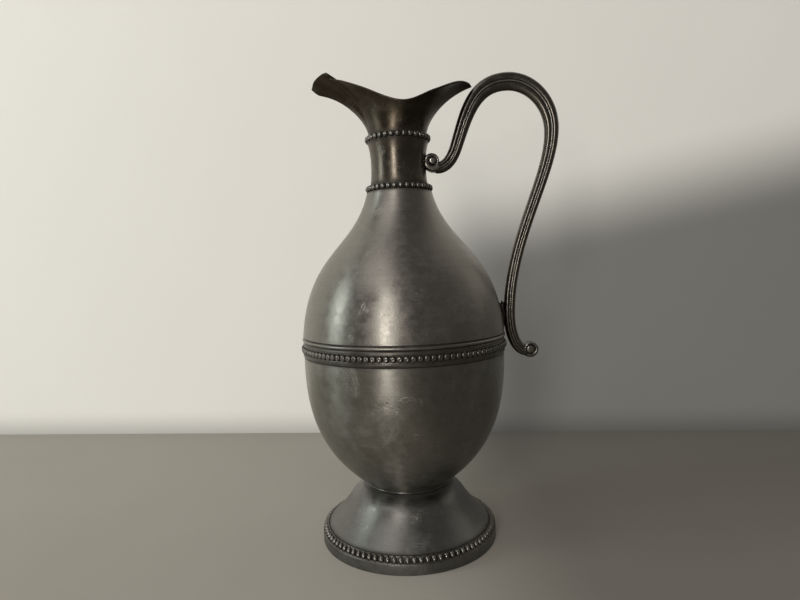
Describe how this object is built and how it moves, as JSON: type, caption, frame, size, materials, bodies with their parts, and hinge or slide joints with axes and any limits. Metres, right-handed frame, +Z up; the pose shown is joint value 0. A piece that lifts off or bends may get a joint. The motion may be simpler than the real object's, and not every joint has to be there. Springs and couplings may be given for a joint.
{
  "type": "pewter ewer",
  "caption": "Tall pewter ewer: ovoid body on a bell foot, beaded bands at foot, belly and neck, long pouring lip, rear tongue and high reeded scroll handle.",
  "frame": {"origin": "middle of the bottom face of the bounding box, on the table", "axes": "+Z up; the pouring lip points along -X, the handle stands along +X; the picture plane of the handle is Y = 0"},
  "size_m": [0.1832, 0.1432, 0.3212],
  "materials": {
    "satin_pewter": "satin, aged and spun",
    "dark_pewter": "dark patina, polished on the high points",
    "solder": "bright, wiped solder"
  },
  "bodies": {
    "root": {"foot_plinth": "dark_pewter", "foot_bead_strip": "dark_pewter", "foot_bell": "satin_pewter", "foot_solder": "solder", "waist_solder": "solder", "bowl": "satin_pewter", "belly_band": "dark_pewter", "shoulder": "satin_pewter", "lower_neck_ring": "dark_pewter", "neck_tube": "satin_pewter", "upper_neck_ring": "dark_pewter", "mouth": "dark_pewter", "handle": "dark_pewter", "upper_handle_pad": "solder", "lower_handle_pad": "solder"}
  },
  "joints": []
}
